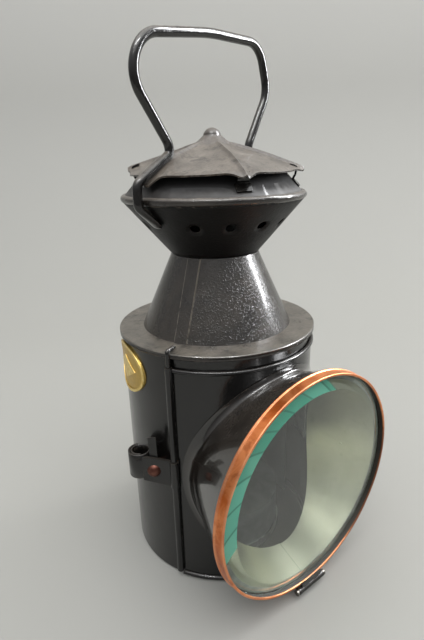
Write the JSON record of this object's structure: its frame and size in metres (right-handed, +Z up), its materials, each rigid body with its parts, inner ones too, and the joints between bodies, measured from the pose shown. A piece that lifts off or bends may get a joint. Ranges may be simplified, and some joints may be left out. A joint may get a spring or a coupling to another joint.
{
  "type": "railway hand lamp",
  "caption": "Oil hand lamp for railway staff: round case with a hinged reflector front and bevelled glass, cone chimney, pleated crown, fixed wire handle and side socket.",
  "frame": {"origin": "centre of the case's underside, on the surface the lamp rests on", "axes": "+Z up along the case's centre line, -Y out through the glass, +X to the left of someone looking into the glass"},
  "size_m": [0.1423, 0.1497, 0.3181],
  "materials": {
    "black_japan": "gloss",
    "copper": "polished copper",
    "plate_glass": "clear",
    "glazing_packing": "matt",
    "silvered_tin": "polished",
    "tinplate": "satin",
    "plate_brass": "polished",
    "burner_brass": "aged",
    "steel_wire": "satin",
    "wick_cotton": "woven"
  },
  "bodies": {
    "case": {"base_pan": "black_japan", "rear_shell": "black_japan", "hood_collar": "black_japan", "hood_flange": "black_japan", "chimney_cone": "black_japan", "vent_bowl": "black_japan", "bowl_rim_bead": "black_japan", "bowl_top": "black_japan", "inner_chimney": "tinplate", "crown": "black_japan", "crown_struts": "black_japan", "crown_finial": "black_japan", "handle": "black_japan", "hinge_pin": "black_japan", "socket_bracket": "black_japan", "socket_tube": "black_japan", "socket_spring": "black_japan", "bracket_rivet": "black_japan", "oval_plate": "plate_brass", "catch_tongue": "tinplate", "rear_reflector": "silvered_tin", "font_ring": "tinplate"},
    "door": {"door_shell": "black_japan", "reflector_hood": "black_japan", "reflector_cone": "silvered_tin", "glass_seat": "tinplate", "door_thumb_tab": "black_japan", "hood_hinge_leaf": "black_japan", "bezel_hinge_pin": "steel_wire"},
    "glass_front": {"bezel": "copper", "glass": "plate_glass", "glass_packing": "glazing_packing", "bezel_hinge_leaf": "black_japan"},
    "font": {"oil_font": "tinplate", "burner_body": "burner_brass", "burner_cap": "burner_brass", "wick_tube": "burner_brass"},
    "filler_cap": {"filler_cap": "burner_brass"},
    "wick": {"wick": "wick_cotton"},
    "winder": {"wick_spindle": "burner_brass", "wick_wheels": "burner_brass", "wick_knob": "burner_brass"}
  },
  "joints": [
    {"name": "door_swing", "type": "hinge", "parent": "case", "child": "door", "pos_m": [-0.05519, -0.02692, 0.08], "axis": [0, 0, -1], "range_deg": [0, 95]},
    {"name": "bezel_swing", "type": "hinge", "parent": "door", "child": "glass_front", "pos_m": [0, -0.0862, 0.0056], "axis": [1, 0, 0], "range_deg": [0, 90]},
    {"name": "font_lift", "type": "slide", "parent": "case", "child": "font", "axis": [0, 0, 1], "range_m": [0, 0.01]},
    {"name": "filler_cap_turn", "type": "hinge", "parent": "font", "child": "filler_cap", "pos_m": [0.01735, 0.02068, 0.035], "axis": [0, 0, 1], "range_deg": [0, 360]},
    {"name": "wick_knob_turn", "type": "hinge", "parent": "font", "child": "winder", "pos_m": [0, 0.00475, 0.043], "axis": [-1, 0, 0], "range_deg": [-60, 95]},
    {"name": "wick_rise", "type": "slide", "parent": "font", "child": "wick", "axis": [0, 0, 1], "range_m": [-0.004, 0.0062]}
  ],
  "couplings": [
    {"joint": "wick_rise", "follows": "wick_knob_turn", "m_per_rad": 0.0036}
  ]
}
